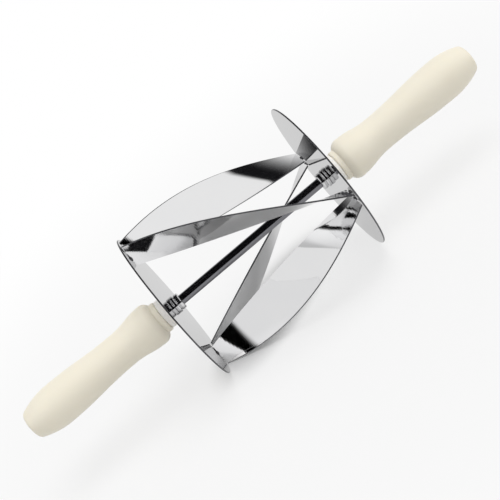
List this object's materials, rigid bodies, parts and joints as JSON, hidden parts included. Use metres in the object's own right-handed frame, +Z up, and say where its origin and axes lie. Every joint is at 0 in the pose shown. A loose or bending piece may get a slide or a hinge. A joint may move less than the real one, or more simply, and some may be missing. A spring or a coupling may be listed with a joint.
{
  "type": "rolling croissant cutter",
  "caption": "Hand-held pastry roller: steel discs joined by a zigzag of twisted blades cut rolled dough into triangles, between waisted plastic handles that turn on the shaft.",
  "frame": {"origin": "centre of the roller on the shaft's axis, midway between the discs", "axes": "+X along the shaft towards the right handle, +Y to the back, +Z up; the left disc's blade corners are at its top and bottom, the right disc's at its front and back"},
  "size_m": [0.3636, 0.11, 0.11],
  "materials": {
    "polished_steel": "mirror-polished stainless steel sheet",
    "turned_steel": "bright turned steel",
    "dark_steel": "dark smooth round bar",
    "weld_metal": "small dull weld tacks",
    "plated_steel": "zinc-plated steel",
    "white_nylon": "natural white nylon",
    "cream_plastic": "satin moulded cream polypropylene"
  },
  "bodies": {
    "roller": {"shaft": "dark_steel", "left_disc": "polished_steel", "right_disc": "polished_steel", "upper_back_blade": "polished_steel", "upper_front_blade": "polished_steel", "lower_front_blade": "polished_steel", "lower_back_blade": "polished_steel", "left_hub": "turned_steel", "right_hub": "turned_steel", "left_weld_tacks": "weld_metal", "right_weld_tacks": "weld_metal", "left_retaining_washer": "plated_steel", "right_retaining_washer": "plated_steel", "left_lock_nut": "plated_steel", "right_lock_nut": "plated_steel"},
    "left_handle": {"left_bush": "white_nylon", "left_grip": "cream_plastic", "left_end_bush": "white_nylon", "left_end_plug": "cream_plastic"},
    "right_handle": {"right_bush": "white_nylon", "right_grip": "cream_plastic", "right_end_bush": "white_nylon", "right_end_plug": "cream_plastic"}
  },
  "joints": [
    {"name": "left_handle_spin", "type": "hinge", "parent": "roller", "child": "left_handle", "pos_m": [-0.12, 0, 0], "axis": [1, 0, 0], "continuous": true},
    {"name": "right_handle_spin", "type": "hinge", "parent": "roller", "child": "right_handle", "pos_m": [0.12, 0, 0], "axis": [1, 0, 0], "continuous": true}
  ]
}
